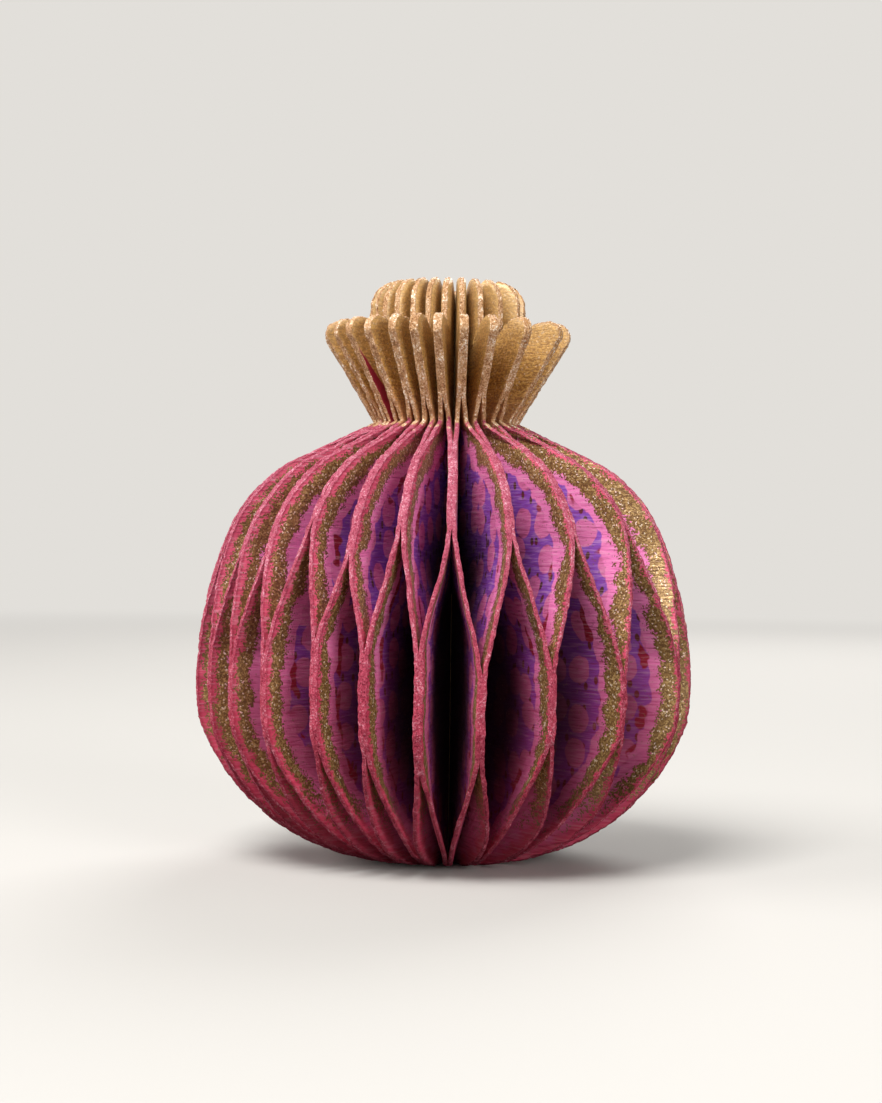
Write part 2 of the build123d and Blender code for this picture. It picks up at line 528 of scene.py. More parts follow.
        # The paint is palest at the top of the crown, and low down it is thin and lets the pink ink through.
        brushed, pale, thin = (
            add_node(
                tree, "MapRange", None, {"Value": value, "From Min": none, "From Max": full, "To Max": most}
            )
            for value, none, full, most in (
                (grain, *self.brush_marks, 1.0),
                (height, self.tint_end, self.pale_end, self.pale_cover),
                (height, self.tint_end, self.crown_start, self.tint_cover),
            )
        )
        paint = linear(self.crown_shade)
        for cover, hex_colour in (
            (brushed, self.crown_gold), (pale, self.crown_pale), (thin, self.crown_tint),
        ):
            paint = add_node(tree, "Mix", COLOUR_MIX, {0: cover, 6: paint, 7: linear(hex_colour)})
        speckled, banded = (
            add_node(tree, "Mix", COLOUR_MIX, {0: share, 6: under, 7: flake})
            for share, under in ((self.speckle, paint), (band, inked))
        )
        return add_node(tree, "Mix", COLOUR_MIX, {0: crown, 6: banded, 7: speckled})

    def relief(self, sheet: PrintSockets, grain: Socket, gold: Socket) -> Socket:
        """Raise the tooth and grain of the paper, and grit where there is gold.

        Args:
            sheet: Sockets that the layers share.
            grain: Grain of the paper or of the paint on it.
            gold: Cover of all gold.

        Returns:
            Normal of the surface.
        """
        tree = sheet.tree
        tooth = add_node(
            tree, "TexNoise", None, {"Vector": sheet.spot, "Scale": 1 / self.tooth_size, "Detail": 2.0}
        )
        grit = add_node(tree, "Math", MULTIPLY, {0: sheet.pick, 1: gold})
        below: dict[str | int, object] = {}
        for raised, (strength, depth) in (
            (grain, self.grain_relief), (tooth, self.tooth_relief), (grit, self.grit_relief),
        ):
            bump = add_node(
                tree, "Bump", None, {"Strength": strength, "Distance": depth * MM, "Height": raised, **below}
            )
            below = {"Normal": bump}
        return below["Normal"]


@dataclass(frozen=True)
class CutRagEdge:
    """Cut edge of a leaf: rag paper sheared by a die, so that its fibres stand up, then painted over.

    The eye gets a crumbly, fibrous strip, pink with pale tufts and dark pits on the body and dull gold with
    small painted glints on the crown. The pink is darker and redder low on the body, as painted shade.
    """

    # Edge tones low on the body are a darker, redder copy of those high up: painted shade. The palest crown
    # tone is a painted glint.
    shaded_low_tones: tuple[str, ...] = ("#561220", "#9A3044", "#AC4658", "#CE8694")
    lit_high_tones: tuple[str, ...] = ("#5E1C2A", "#A0465A", "#B05C6E", "#D6A0AC")
    crown_tones_and_glint: tuple[str, ...] = ("#5C3820", "#AC7E54", "#CCA47C", "#FFF8E6")
    tone_places: tuple[float, ...] = (0.34, 0.44, 0.55, 0.65)
    fibre_size: float = 0.34
    fibre_relief: float = 0.3
    crumb_size: float = 2.0
    crumb_share: float = 0.3
    # Heights between which the painted shade of the low edge gives way to the lit tones
    low_shade_end: float = 26.0
    high_start: float = 60.0
    crown_start: float = 75.1
    crown_wander: float = 6.0
    crown_blur: float = 0.4
    gilt_metallic: float = 0.12
    # Roughness of the bare edge and of the gilt one
    roughness: tuple[float, float] = (0.9, 0.45)
    gloss: float = 0.15

    def material(self) -> bpy.types.Material:
        """Build the material.

        Returns:
            Material that reads the leaf's "place" attribute.
        """
        made, tree = new_material("die-cut painted rag edge")
        spot = add_node(tree, "TexCoord", output="Object")
        place = add_node(tree, "Attribute", {"attribute_name": "place"}, output="Vector")
        height = add_node(tree, "SeparateXYZ", None, {"Vector": place}, output="Y")
        fibres = add_node(
            tree, "TexNoise", None,
            {"Vector": spot, "Scale": 1 / (self.fibre_size * MM), "Detail": 3.0, "Roughness": 0.7},
        )
        crumbs = add_node(
            tree, "TexNoise", None, {"Vector": spot, "Scale": 1 / (self.crumb_size * MM), "Detail": 2.0}
        )
        blend = add_node(tree, "Mix", None, {0: self.crumb_share, 2: fibres, 3: crumbs})
        low, high, crown = (
            add_node(tree, "ValToRGB", None, {"Fac": blend}, tuple(zip(self.tone_places, tones)))
            for tones in (self.shaded_low_tones, self.lit_high_tones, self.crown_tones_and_glint)
        )
        # Painted shade: the edge takes the darker, redder tones low on the body.
        lit_share = add_node(
            tree, "MapRange", None, {"Value": height, "From Min": self.low_shade_end, "From Max": self.high_start}
        )
        gilt_edge = add_node(tree, "Math", MULTIPLY_ADD, {0: crumbs, 1: self.crown_wander, 2: height})
        start = self.crown_start + self.crown_wander / 2
        gilt = add_node(
            tree, "MapRange", SOFT_STEP,
            {"Value": gilt_edge, "From Min": start - self.crown_blur, "From Max": start + self.crown_blur},
        )
        colour = low
        for cover, tone in ((lit_share, high), (gilt, crown)):
            colour = add_node(tree, "Mix", COLOUR_MIX, {0: cover, 6: colour, 7: tone})
        metallic = add_node(tree, "Math", MULTIPLY, {0: gilt, 1: self.gilt_metallic})
        bare_roughness, gilt_roughness = self.roughness
        roughness = add_node(
            tree, "MapRange", None, {"Value": gilt, "To Min": bare_roughness, "To Max": gilt_roughness}
        )
        relief = add_node(
            tree, "Bump", None, {"Strength": 1.0, "Distance": self.fibre_relief * MM, "Height": fibres}
        )
        shader = add_node(
            tree, "BsdfPrincipled", None,
            {"Base Color": colour, "Metallic": metallic, "Roughness": roughness,
             "Specular IOR Level": self.gloss, "Normal": relief},
        )
        add_node(tree, "OutputMaterial", None, {"Surface": shader})
        return made


@dataclass(frozen=True)
class RolledKraftStrip:
    """Binding strip: unbleached kraft paper rolled up tight, matt and brown with a faint fibre mottle."""

    kraft_light: str = "#BFA67F"
    kraft_dark: str = "#9A805B"
    mottle_size: float = 0.8
    # Strength and depth of the relief
    mottle_relief: tuple[float, float] = (0.4, 0.05)
    roughness: float = 0.85

    def material(self) -> bpy.types.Material:
        """Build the material.

        Returns:
            Matt brown paper.
        """
        made, tree = new_material("rolled kraft strip paper")
        spot = add_node(tree, "TexCoord", output="Object")
        mottle = add_node(
            tree, "TexNoise", None, {"Vector": spot, "Scale": 1 / (self.mottle_size * MM), "Detail": 3.0}
        )
        colour = add_node(
            tree, "Mix", COLOUR_MIX, {0: mottle, 6: linear(self.kraft_dark), 7: linear(self.kraft_light)}
        )
        strength, depth = self.mottle_relief
        relief = add_node(
            tree, "Bump", None, {"Strength": strength, "Distance": depth * MM, "Height": mottle}
        )
        shader = add_node(
            tree, "BsdfPrincipled", None,
            {"Base Color": colour, "Roughness": self.roughness, "Normal": relief},
        )
        add_node(tree, "OutputMaterial", None, {"Surface": shader})
        return made


@dataclass(frozen=True)
class StudioFloorPaper:
    """Floor: matt studio background paper, which takes a soft shadow and runs out into the backdrop."""

    tone: str = "#B6B3AE"
    backdrop_tone: str = "#E2DFDA"
    bounce_tone: str = "#5E5C59"
    roughness: float = 0.9
    # Distances from the ornament in metres
    fade_start: float = 0.25
    fade_end: float = 1.6

    def material(self) -> bpy.types.Material:
        """Build the material.

        Returns:
            Plain pale matt paper to the eye, which throws less light back up than it shows.
        """
        made, tree = new_material("matt background paper")
        seen = background_rays(tree)
        tone = add_node(tree, "Mix", COLOUR_MIX, {0: seen, 6: linear(self.bounce_tone), 7: linear(self.tone)})
        paper = add_node(tree, "BsdfPrincipled", None, {"Base Color": tone, "Roughness": self.roughness})
        backdrop = add_node(tree, "Emission", None, {"Color": linear(self.backdrop_tone)})
        spot = add_node(tree, "TexCoord", output="Object")
        distance = add_node(tree, "VectorMath", {"operation": "LENGTH"}, {0: spot})
        fade = add_node(
            tree, "MapRange", SOFT_STEP,
            {"Value": distance, "From Min": self.fade_start, "From Max": self.fade_end},
        )
        faded = add_node(tree, "Math", MULTIPLY, {0: fade, 1: seen})
        surface = add_node(tree, "MixShader", None, {0: faded, 1: paper, 2: backdrop})
        add_node(tree, "OutputMaterial", None, {"Surface": surface})
        return made


@dataclass(frozen=True)
class Stretch:
    """One stretch of the rim of a flat leaf, straight or bowed outwards, and the foot of its last ruling."""

    end_width: float
    end_height: float
    end_foot: float
    bulge: float = 0.0

    def points(self, start_width: float, start_height: float, spacing: float) -> np.ndarray:
        """Sample the stretch evenly, without its start.

        Args:
            start_width: Width at the start of the stretch.
            start_height: Height at the start of the stretch.
            spacing: Distance between points along the rim.

        Returns:
            Rows of width and height, the last one at the end of the stretch.
        """
        chord = np.array([self.end_width - start_width, self.end_height - start_height])
        length = hypot(*chord)
        steps = max(round(length / spacing), 1)
        shares = np.arange(1, steps + 1) / steps
        start = np.array([start_width, start_height])
        if not self.bulge:
            return start + shares[:, None] * chord
        outward = np.array([chord[1], -chord[0]]) / length
        radius = (length**2 / 4 + self.bulge**2) / (2 * self.bulge)
        centre = start + chord / 2 + outward * (self.bulge - radius)
        first = atan2(*(start - centre)[::-1])
        sweep = atan2(*(start + chord - centre)[::-1]) - first
        sweep = (sweep + pi) % (2 * pi) - pi
        angles = first + shares * sweep
        return centre + radius * np.stack([np.cos(angles), np.sin(angles)], axis=1)


@dataclass
class LeafOutline:
    """Outline of a leaf laid flat: half a pomegranate with a straight inner edge."""

    base_width: float = 3.6
    haunch: Stretch = Stretch(35.9, 24.5, 0.3, 6.3)
    belly: Stretch = Stretch(36.3, 34.0, 46.0, 0.25)
    flank: Stretch = Stretch(30.4, 58.6, 46.3, 1.2)
    shoulder: Stretch = Stretch(21.0, 68.7, 66.0, 0.9)
    slope: Stretch = Stretch(15.3, 71.4, 75.0)
    neck: Stretch = Stretch(6.1, 75.8, 75.1)
    throat: Stretch = Stretch(8.5, 79.8, 75.3)
    flare: Stretch = Stretch(14.9, 90.1, 79.5)
    lip: Stretch = Stretch(11.8, 93.1, 82.5, 1.3)
    outer_lobe: Stretch = Stretch(7.1, 90.1, 85.5, 0.8)
    cheek: Stretch = Stretch(7.0, 95.9, 91.6)
    inner_lobe: Stretch = Stretch(2.9, 100.4, 97.7, 1.1)
    spacing: float = 0.5

    def stretches(self) -> list[Stretch]:
        """Stretches of the rim from the base up."""
        return [
            self.haunch, self.belly, self.flank, self.shoulder, self.slope, self.neck, self.throat,
            self.flare, self.lip, self.outer_lobe, self.cheek, self.inner_lobe,
        ]

    def stations(self) -> tuple[np.ndarray, np.ndarray]:
        """Sample the rim.

        Returns:
            Rim points as rows of width and height, and for each the height of its foot on the inner edge.
        """
        rim = [np.array([[self.base_width, 0.0]])]
        feet = [np.array([0.0])]
        for stretch in self.stretches():
            points = stretch.points(*rim[-1][-1], self.spacing)
            rim.append(points)
            shares = np.arange(1, len(points) + 1) / len(points)
            feet.append(feet[-1][-1] + shares * (stretch.end_foot - feet[-1][-1]))
        return np.concatenate(rim), np.concatenate(feet)


@dataclass
class GluePlanes:
    """Upright glue planes round the spine: belly planes and shoulder planes in turn, a belly plane first."""

    count: int = 48
    thickness: float = 0.8
    play: float = 0.08
    rim_width: float = 36.3
    crown_width: float = 14.9
    crown_gather: float = 3.5
    spine_heading: float = -72.0
    # Heading from the front, and how far the glued band runs on below and above
    front: tuple[tuple[float, float, float], ...] = (
        (-66.0, 5.0, 2.0),
        (-59.2, 5.5, 0.0),
        (-54.7, 6.0, 1.0),
        (-48.0, 6.2, 0.0),
        (-42.7, 2.4, 2.0),
        (-35.2, 0.0, 0.0),
        (-28.8, 2.6, 5.0),
        (-22.8, 5.8, 0.0),
        (-17.2, 3.6, 3.2),
        (-10.9, 1.0, 0.0),
        (-5.4, 6.2, 3.4),
        (1.2, 1.4, 0.0),
        (8.0, 4.2, 0.0),
        (16.0, 2.6, 0.0),
        (23.7, 1.2, 1.0),
        (33.0, 2.0, 0.0),
        (42.7, 0.3, 0.0),
        (52.8, 0.0, 0.0),
        (66.7, 0.5, 0.8),
    )
    belly_below: float = 3.4
    belly_above: float = 1.6
    shoulder_below: float = 2.6
    glue_wander: float = 1.4
    wander_turn: float = 137.5
    feet: np.ndarray = field(init=False)
    runs: np.ndarray = field(init=False)
    crown_runs: np.ndarray = field(init=False)
    glue: list[tuple[float, float]] = field(init=False)

    def __post_init__(self) -> None:
        """Work out every plane's foot on the spine, its run to the rim and its glued band."""
        headings = [plane[0] for plane in self.front]
        self.glue = [plane[1:] for plane in self.front]
        steps = self.count - len(self.front) + 1
        turn = (360 + headings[0] - headings[-1]) / steps
        for step in range(1, steps):
            wander = self.glue_wander * sin(radians(self.wander_turn * step))
            if len(headings) % 2 == 0:
                self.glue.append((self.belly_below + wander, self.belly_above + wander))
            else:
                self.glue.append((self.shoulder_below + wander, 0.0))
            headings.append(headings[-1] + turn)
        spine_radius = (self.thickness + self.play) / (2 * sin(pi / self.count))
        spine_turn = self.spine_heading + np.arange(self.count) * 360 / self.count
        self.feet = spine_radius * self.direction(spine_turn)
        belly_turn = np.array(headings)
        self.runs = (spine_radius + self.rim_width) * self.direction(belly_turn) - self.feet
        self.runs /= np.linalg.norm(self.runs, axis=1)[:, None]
        crown_turn = belly_turn - self.crown_gather * np.sin(np.radians(2 * belly_turn))
        self.crown_runs = (spine_radius + self.crown_width) * self.direction(crown_turn) - self.feet
        self.crown_runs /= np.linalg.norm(self.crown_runs, axis=1)[:, None]
        self.crown_runs[1::2] = self.runs[1::2]

    @staticmethod
    def direction(angles: np.ndarray) -> np.ndarray:
        """Level directions at angles from the front, positive towards +X."""
        return np.stack([np.sin(np.radians(angles)), -np.cos(np.radians(angles))], axis=1)


@dataclass
class PaperLeaf:
    """One die-cut leaf, which swings to and fro between its own glue plane and the next one."""

    number: int
    outline: LeafOutline
    planes: GluePlanes
    bare_crown: bool = False
    base_glue_top: float = 0.6
    bend_softness: float = 0.45
    # Places of the rows from the inner edge to the rim
    rows: tuple[float, ...] = (0.0, 0.3, 0.52, 0.68, 0.79, 0.865, 0.915, 0.95, 0.975, 1.0)
    # Cut edge: bands across it, how far it rounds out and how bluntly, and its crumbs
    edge_steps: int = 5
    edge_round: float = 0.15
    edge_power: int = 4
    edge_crumb: float = 0.12
    # Crush of the sheet along the rim, and how much less there is on the next row in
    edge_pinch: float = 0.13
    pinch_fade: float = 3.0
    # A side is free once the leaf has swung off its neighbour by 1 / parting of the way.
    parting: float = 3.0
    # Paring of the inner lobe, and its shares on the rows from the rim in
    tip_pinch: float = 0.28
    tip_shares: tuple[float, ...] = (1.0, 0.85, 0.6, 0.35, 0.15)
    # Ragged line of the cut: its mean inset, then its wavelengths and reaches
    rim_inset: float = 0.3
    rim_wander: tuple[tuple[float, float], ...] = ((0.9, 0.09), (2.0, 0.08), (7.0, 0.08))
    # Waves of the sheet, with a turn of phase from plane to plane, and a quicker wobble
    cockle: float = 0.16
    cockle_length: float = 21.0
    cockle_slant: float = 0.7
    cockle_turn: float = 0.618
    cockle_spread: float = 2.3
    wobble: float = 0.1
    wobble_step: float = 1.5
    # Random place of a face on the printed sheet, and how much nearer the rim the own face's print lies
    print_shift: float = 400.0
    own_shift: float = 0.7
    first_seed: int = 1000

    @property
    def name(self) -> str:
        """Name of the leaf's node."""
        return f"leaf_{self.number + 1:02d}"

    def eased(self, value: np.ndarray, start: float, end: float) -> np.ndarray:
        """Work out the share of the way from start to end, with a soft start and stop.

        Args:
            value: Values to place.
            start: Value at which the share leaves 0.
            end: Value at which the share reaches 1.

        Returns:
            Shares from 0 to 1.
        """
        share = np.clip((value - start) / (end - start), 0, 1)
        return share + self.bend_softness * (share * share * (3 - 2 * share) - share)

    def swing(self, height: np.ndarray) -> np.ndarray:
        """Work out how far the leaf has swung from its own plane to the next one.

        Args:
            height: Heights on the rim.

        Returns:
            0 on the leaf's own plane and 1 on the next plane.
        """
        following = (self.number + 1) % self.planes.count
        belly_first = self.number % 2 == 0
        belly_plane, shoulder_plane = (self.number, following) if belly_first else (following, self.number)
        belly_below, belly_above = self.planes.glue[belly_plane]
        shoulder_below, shoulder_above = self.planes.glue[shoulder_plane]
        outline = self.outline
        to_belly = self.eased(height, self.base_glue_top, outline.haunch.end_height - belly_below)
        to_shoulder = self.eased(
            height, outline.belly.end_height + belly_above, outline.flank.end_height - shoulder_below
        )
        to_crown = self.eased(height, outline.slope.end_height + shoulder_above, outline.throat.end_height)
        on_belly_plane = to_belly - to_shoulder + to_crown
        return 1 - on_belly_plane if belly_first else on_belly_plane

    @staticmethod
    def square_to(run: np.ndarray) -> np.ndarray:
        """Level directions square to level runs, on the side of growing headings."""
        square = np.stack([-run[..., 1], run[..., 0]], axis=-1)
        return square / np.linalg.norm(square, axis=-1)[..., None]

    def place(
        self,
        rim_height: np.ndarray,
        swing: np.ndarray,
        width: np.ndarray,
        height: np.ndarray,
        across: np.ndarray,
    ) -> np.ndarray:
        """Stand points of the flat leaf up in space.

        Args:
            rim_height: Height of the rim at the far end of each point's ruling.
            swing: Share of the way from the leaf's own plane to the next one.
            width: Distance from the inner edge.
            height: Height above the table.
            across: Distance from the middle of the sheet, positive towards the next plane.

        Returns:
            Points in millimetres, in the last axis.
        """
        planes = self.planes
        own, following = self.number, (self.number + 1) % planes.count
        half = planes.thickness / 2
        in_crown = (rim_height > self.outline.shoulder.end_height)[..., None]
        own_run = np.where(in_crown, planes.crown_runs[own], planes.runs[own])
        next_run = np.where(in_crown, planes.crown_runs[following], planes.runs[following])
        own_foot = planes.feet[own] + self.square_to(own_run) * half
        next_foot = planes.feet[following] - self.square_to(next_run) * half
        foot = own_foot + (next_foot - own_foot) * swing[..., None]
        run = own_run + (next_run - own_run) * swing[..., None]
        square = self.square_to(run)
        offset = across + self.cockled(swing, width, height)
        level = foot + run * width[..., None] + square * offset[..., None]
        return np.concatenate([level, height[..., None]], axis=-1)

    def cockled(self, swing: np.ndarray, width: np.ndarray, height: np.ndarray) -> np.ndarray:
        """Draw the waves and the wobble of the sheet, shared with the neighbour that it is glued to.

        Args:
            swing: Share of the way from the leaf's own plane to the next one.
            width: Distance from the inner edge.
            height: Height above the table.

        Returns:
            Distance that the sheet stands off, in millimetres.
        """
        reach = width / self.planes.rim_width
        turn = 2 * pi / self.cockle_length
        knots = np.arange(0, self.outline.inner_lobe.end_height + self.wobble_step, self.wobble_step)
        waves = []
        for plane in (self.number, (self.number + 1) % self.planes.count):
            phase = 2 * pi * ((plane * self.cockle_turn) % 1)
            slope = turn * width * self.cockle_slant + self.cockle_spread * phase
            slow = np.sin(turn * height + phase) * np.cos(slope)
            quick = np.interp(height, knots, np.random.default_rng(plane).uniform(-1, 1, len(knots)))
            waves.append(self.cockle * slow + self.wobble * quick)
        return reach * (waves[0] * (1 - swing) + waves[1] * swing)

    def wander(self, draws: np.random.Generator, length: float, stations: np.ndarray) -> np.ndarray:
        """Draw the ragged line of the die cut.

        Args:
            draws: Random numbers of this leaf.
            length: Length of the rim.
            stations: Distances along the rim.

        Returns:
            How far the rim stands out at each station.
        """
        line = np.zeros(len(stations))
        for wavelength, reach in self.rim_wander:
            knots = np.arange(0, length + 2 * wavelength, wavelength / 2)
            line += np.interp(stations, knots, draws.uniform(-reach, reach, len(knots)))
        return line

    def half_thicknesses(self, draws: np.random.Generator, rim: np.ndarray, parted: np.ndarray) -> np.ndarray:
        """Thin the sheet along the rim, which the die crushes a little, and along the inner lobe.

        Args:
            draws: Random numbers of this leaf.
            rim: Rim points as rows of width and height.
            parted: For each side and station, 0 where it is glued to a neighbour and 1 where it is free.

        Returns:
            Distance of each side from the middle of the sheet, for every station and row.
        """
        pinch = parted * draws.uniform(0, self.edge_pinch, parted.shape)
        halves = np.full((*parted.shape, len(self.rows)), self.planes.thickness / 2)
        halves[:, :, -1] -= pinch
        halves[:, :, -2] -= pinch / self.pinch_fade
        # Along the inner lobe the sheet is pared on the side away from the leaf that it is glued to.
        notch = self.outline.outer_lobe
        tips = (rim[:, 0] <= notch.end_width) & (rim[:, 1] > notch.end_height)
        pared = 1 if self.number % 2 == 0 else 0
        for row, share in enumerate(self.tip_shares, 1):
            halves[pared, tips, -row] -= share * self.tip_pinch
        return halves

    @staticmethod
    def loop_round(stations: int, rows: int) -> np.ndarray:
        """Go round the leaf: up the rim, in along the top, down the inner edge and out along the base.

        Args:
            stations: Number of stations along the rim.
            rows: Number of rows from the inner edge to the rim.

        Returns:
            Station and row of each place on the way.
        """
        last, outer = stations - 1, rows - 1
        loop = [(station, outer) for station in range(stations)]
        loop += [(last, row) for row in range(outer - 1, 0, -1)]
        loop += [(station, 0) for station in range(last, -1, -1)]
        loop += [(0, row) for row in range(1, outer)]
        return np.array(loop)

    def mesh(self) -> bpy.types.Mesh:
        """Build the leaf: two faces on one grid of rulings, and a rounded, crumbly edge all round.

        Returns:
            Closed mesh with "print" and "place" attributes and two material slots.
        """
        draws = np.random.default_rng(self.first_seed + self.number)
        rim, feet = self.outline.stations()
        along = np.gradient(rim, axis=0)
        along /= np.linalg.norm(along, axis=1)[:, None]
        outward = np.stack([along[:, 1], -along[:, 0]], axis=1)
        arc = np.concatenate([[0], np.cumsum(np.linalg.norm(np.diff(rim, axis=0), axis=1))])
        inset = np.minimum(self.wander(draws, arc[-1], arc) - self.rim_inset, 0)
        ragged = rim + outward * inset[:, None]
        ragged[:, 1] = np.maximum(ragged[:, 1], 0.0)
        swing = self.swing(rim[:, 1])

        # Grid of the flat leaf: stations along the rim by rows from the inner edge to the rim
        rows = np.array(self.rows)
        width = ragged[:, None, 0] * rows
        height = feet[:, None] + (ragged[:, None, 1] - feet[:, None]) * rows
        swings = np.repeat(swing[:, None], len(rows), axis=1)
        spots = np.stack([width, height], axis=-1)
        depth = np.linalg.norm(spots[:, :, None] - ragged, axis=-1).min(axis=-1)
        rim_height = np.repeat(rim[:, 1:], len(rows), axis=1)
        # Where a side is glued it stays square, so that the pair reads as one strand.
        parted = np.clip(self.parting * np.stack([swing, 1 - swing]), 0, 1)
        halves = self.half_thicknesses(draws, rim, parted)
        lift = np.minimum(self.edge_round * (1 - parted), -inset)
        points = []
        for side, half, raised in zip(Side, halves, lift):
            skin_width, skin_height = width.copy(), height.copy()
            skin_width[:, -1] += outward[:, 0] * raised
            skin_height[:, -1] = np.maximum(skin_height[:, -1] + outward[:, 1] * raised, 0.0)
            skin = self.place(rim_height, swings, skin_width, skin_height, side.value * half)
            points.append(skin.reshape(-1, 3))
        shifts = draws.uniform(0, self.print_shift, (len(Side), 2))
        prints = [spots.reshape(-1, 2) + shift for shift in shifts]
        depths = [depth.ravel() + self.own_shift, depth.ravel()]
        heights = [height.ravel()] * len(Side)

        # Cut edge: rings of vertices round the leaf, from one face to the other. Only the rim stands out.
        loop = self.loop_round(*width.shape)
        on_loop, count, grid_size = tuple(loop.T), len(loop), width.size
        free = np.arange(count) < len(rim)
        away, room, lifts = np.zeros((count, 2)), np.zeros(count), np.zeros((len(Side), count))
        away[free], room[free], lifts[:, free] = outward, -inset, lift
        rings = [loop @ [len(rows), 1]]
        for step in range(1, self.edge_steps):
            share = 2 * step / self.edge_steps - 1
            near = 0 if share < 0 else 1
            crumb = draws.uniform(-self.edge_crumb, self.edge_crumb, count)
            flat = share**self.edge_power
            rounded = self.edge_round * (1 - flat) + lifts[near] * flat
            stand = np.minimum(free * (rounded + crumb), room)
            edge_width = width[on_loop] + away[:, 0] * stand
            edge_height = np.maximum(height[on_loop] + away[:, 1] * stand, 0.0)
            across = share * halves[near][on_loop]
            rings.append(len(Side) * grid_size + (step - 1) * count + np.arange(count))
            points.append(self.place(rim_height[on_loop], swings[on_loop], edge_width, edge_height, across))
            prints.append(np.stack([edge_width, edge_height], axis=1) + shifts[0])
            depths.append(np.zeros(count))
            heights.append(edge_height)
        rings.append(rings[0] + grid_size)

        index = np.arange(grid_size).reshape(width.shape)
        corners = [index[:-1, :-1], index[1:, :-1], index[1:, 1:], index[:-1, 1:]]
        cells = np.stack(corners, axis=-1).reshape(-1, len(corners))
        faces = [cells[:, ::-1], cells + grid_size]
        for low, high in zip(rings, rings[1:]):
            faces.append(np.stack([low, np.roll(low, -1), np.roll(high, -1), high], axis=1))
        slots = [np.full(len(part), Skin.FACE.value) for part in faces[: len(Side)]]
        slots += [np.full(len(part), Skin.EDGE.value) for part in faces[len(Side) :]]
        places = np.stack([np.concatenate(depths), np.concatenate(heights)], axis=1)
        bare = np.zeros((len(places), 1))
        bare[grid_size : 2 * grid_size] = self.bare_crown
        vectors = {
            "print": np.pad(np.concatenate(prints), ((0, 0), (0, 1))),
            "place": np.concatenate([places, bare], axis=1),
        }
        points, faces, slots = (np.concatenate(parts) for parts in (points, faces, slots))
        return self.written(points, faces, slots, vectors, (rings[0], rings[-1]))

    def written(
        self,
        points: np.ndarray,
        faces: np.ndarray,
        slots: np.ndarray,
        vectors: dict[str, np.ndarray],
        crisp_rings: tuple[np.ndarray, ...],
    ) -> bpy.types.Mesh:
        """Write the leaf's mesh.

        Args:
            points: Vertices in millimetres.
            faces: Vertices of each face.
            slots: Material slot of each face.
            vectors: What the materials read at each vertex, by the name of the attribute.
            crisp_rings: Rings of vertices at which the faces meet the cut edge in a crisp corner.

        Returns:
            The smooth-shaded mesh.
        """
        made = bpy.data.meshes.new(self.name)
        made.from_pydata(points * MM, [], faces.tolist())
        for name, vector in vectors.items():
            made.attributes.new(name, "FLOAT_VECTOR", "POINT").data.foreach_set("vector", vector.ravel())
        made.polygons.foreach_set("material_index", slots)
        made.polygons.foreach_set("use_smooth", np.ones(len(faces), dtype=bool))
        made.update()
        ends = np.empty(2 * len(made.edges), dtype=np.int32)
        made.edges.foreach_get("vertices", ends)
        corners = np.concatenate([np.stack([ring, np.roll(ring, -1)], axis=1) for ring in crisp_rings])
        keys, crisp = (np.sort(pairs, axis=1) @ [len(points), 1] for pairs in (ends.reshape(-1, 2), corners))
        made.attributes.new("sharp_edge", "BOOLEAN", "EDGE").data.foreach_set("value", np.isin(keys, crisp))
        return made


@dataclass
class LeafFan:
    """The whole round of leaves."""

    outline: LeafOutline = field(default_factory=LeafOutline)
    planes: GluePlanes = field(default_factory=GluePlanes)
    paper: PrintedRagPaper = field(default_factory=PrintedRagPaper)
    edge: CutRagEdge = field(default_factory=CutRagEdge)
    bare_crowns: tuple[int, ...] = (2, 30)

    def build(self) -> list[bpy.types.Object]:
        """Build and dress every leaf.

        Returns:
            One piece for each leaf.
        """
        finishes = [self.paper.material(), self.edge.material()]
        pieces = []
        for number in range(self.planes.count):
            leaf = PaperLeaf(number, self.outline, self.planes, bare_crown=number in self.bare_crowns)
            mesh = leaf.mesh()
            for finish in finishes:
                mesh.materials.append(finish)
            piece = bpy.data.objects.new(f"paper_{leaf.name}", mesh)
            bpy.context.scene.collection.objects.link(piece)
            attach(piece, BODY)
            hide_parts(leaf.name)
            pieces.append(piece)
        return pieces


@dataclass
class SpineBinding:
    """The rolled strip that the inner edges of the leaves are bound to."""

    node: str = "spine_binding"
    turns: int = 4
    wall: float = 1.6
    gap: float = 0.05
    steps_per_turn: int = 60
    finish: RolledKraftStrip = field(default_factory=RolledKraftStrip)

    def mesh(self) -> bpy.types.Mesh:
        """Wind the strip up inside the box of its node.

        Returns:
            Closed mesh of a strip rolled into a tube.
        """
        low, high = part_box(self.node)
        radius = (high.x - low.x) / 2 / MM
        strip = self.wall / (self.turns + 1)
        steps = self.turns * self.steps_per_turn
        angles = 2 * pi * np.arange(steps + 1) / self.steps_per_turn
        outer = radius - strip * angles / (2 * pi)
        inner = outer - strip + self.gap
        turned = np.stack([np.cos(angles), np.sin(angles)], axis=1)
        count = len(angles)
        rings = [
            np.column_stack([reach[:, None] * MM * turned, np.full(count, level)])
            for reach, level in ((outer, low.z), (outer, high.z), (inner, high.z), (inner, low.z))
        ]
        faces = []
        for side in range(len(rings)):
            near, far = side * count, (side + 1) % len(rings) * count
            faces += [(near + i, near + i + 1, far + i + 1, far + i) for i in range(steps)]
        faces += [(0, count, 2 * count, 3 * count), tuple(count * side + steps for side in (3, 2, 1, 0))]
        made = bpy.data.meshes.new(self.node)
        made.from_pydata(np.concatenate(rings), [], faces)
        made.update()
        return made

    def build(self) -> bpy.types.Object:
        """Build and dress the binding.

        Returns:
            The binding's piece.
        """
        mesh = self.mesh()
        mesh.materials.append(self.finish.material())
        piece = bpy.data.objects.new("rolled_spine_strip", mesh)
        bpy.context.scene.collection.objects.link(piece)
        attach(piece, BODY)
        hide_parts(self.node)
        return piece


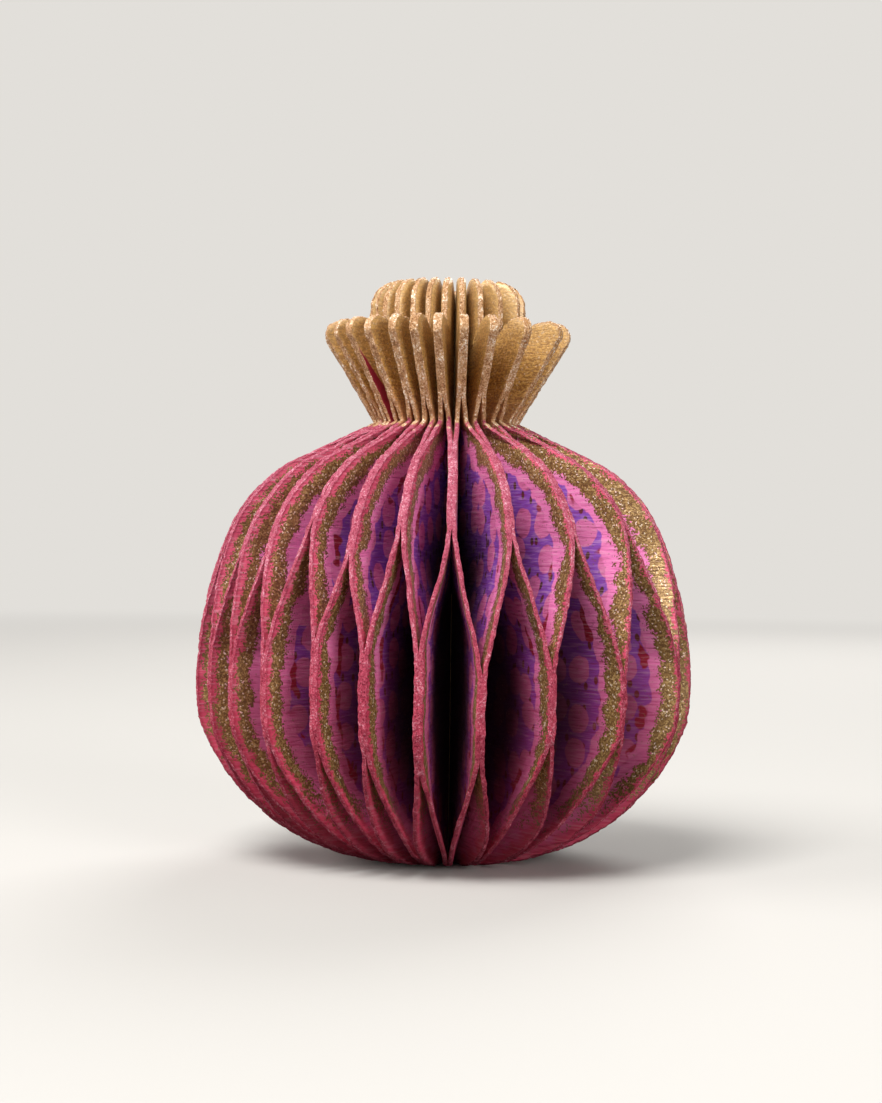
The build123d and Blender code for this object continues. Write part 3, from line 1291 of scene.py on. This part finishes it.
@dataclass
class SoftLamp:
    """One soft box, aimed at the middle of the ornament."""

    name: str
    place: tuple[float, float, float]
    side: float
    watts: float
    aim: tuple[float, float, float] = (0.0, 0.0, 0.05)

    def build(self) -> bpy.types.Object:
        """Hang the lamp.

        Returns:
            The lamp's object.
        """
        lamp = bpy.data.lights.new(self.name, "AREA")
        lamp.size = self.side
        lamp.energy = self.watts
        made = bpy.data.objects.new(self.name, lamp)
        made.location = self.place
        step = np.array(self.aim) - np.array(self.place)
        tilt, turn = atan2(hypot(step[0], step[1]), -step[2]), atan2(step[1], step[0]) - pi / 2
        made.rotation_euler = (tilt, 0.0, turn)
        bpy.context.scene.collection.objects.link(made)
        return made


@dataclass
class Studio:
    """Floor, lamps, world and camera."""

    floor_reach: float = 6.0
    world_tone: str = "#E2DFDA"
    world_light: float = 0.09
    lamps: tuple[SoftLamp, ...] = (
        SoftLamp("key", (-0.35, -0.62, 1.0), 0.6, 20.0),
        SoftLamp("side", (-1.1, -0.12, 0.4), 0.8, 11.0),
        SoftLamp("fill", (0.62, -0.95, 0.3), 0.5, 9.0),
        SoftLamp("back", (0.3, 1.0, 0.75), 0.7, 12.0),
    )
    finish: StudioFloorPaper = field(default_factory=StudioFloorPaper)
    picture: tuple[int, int] = (882, 1103)
    focal_pixels: float = 2200.0
    pixel_size: float = 0.175
    base_row: float = 857.0
    base_column: float = 441.0
    lean: float = 0.73
    sensor: float = 36.0

    def build(self) -> None:
        """Set up everything round the ornament."""
        self.lay_floor()
        for lamp in self.lamps:
            lamp.build()
        self.light_world()
        self.stand_camera()
        bpy.context.scene.view_settings.view_transform = "Standard"

    def lay_floor(self) -> None:
        """Lay the pale floor."""
        reach = self.floor_reach
        mesh = bpy.data.meshes.new("floor")
        mesh.from_pydata(
            [(-reach, -reach, 0), (reach, -reach, 0), (reach, reach, 0), (-reach, reach, 0)],
            [], [(0, 1, 2, 3)],
        )
        mesh.materials.append(self.finish.material())
        floor = bpy.data.objects.new("floor", mesh)
        bpy.context.scene.collection.objects.link(floor)

    def light_world(self) -> None:
        """Give the world a pale tone to the eye, and a dimmer light on the ornament."""
        world = bpy.data.worlds.new("studio")
        bpy.context.scene.world = world
        world.use_nodes = True
        tree = world.node_tree
        tree.nodes.clear()
        seen = background_rays(tree)
        strength = add_node(
            tree, "MapRange", None, {"Value": seen, "To Min": self.world_light, "To Max": 1.0}
        )
        sky = add_node(tree, "Background", None, {"Color": linear(self.world_tone), "Strength": strength})
        add_node(tree, "OutputWorld", None, {"Surface": sky})

    def stand_camera(self) -> None:
        """Stand the camera level in front, where the picture was taken."""
        columns, lines = self.picture
        lens = bpy.data.cameras.new("camera")
        lens.sensor_width = self.sensor
        lens.lens = self.focal_pixels / lines * self.sensor
        camera = bpy.data.objects.new("camera", lens)
        drop = self.base_row - lines / 2
        slide = columns / 2 - self.base_column - drop * sin(radians(self.lean))
        pixel = self.pixel_size * MM
        camera.location = (slide * pixel, -self.focal_pixels * pixel, drop * pixel)
        camera.rotation_euler = (pi / 2, -radians(self.lean), 0.0)
        bpy.context.scene.collection.objects.link(camera)
        bpy.context.scene.camera = camera


def main() -> None:
    """Build the ornament and the studio, and report each piece."""
    logging.basicConfig(level=logging.INFO, format="%(name)s: %(message)s")
    for piece in LeafFan().build():
        log.info("%s: %d faces", piece.name, len(piece.data.polygons))
    binding = SpineBinding().build()
    log.info("%s: %d faces", binding.name, len(binding.data.polygons))
    Studio().build()


if __name__ == "__main__":
    main()
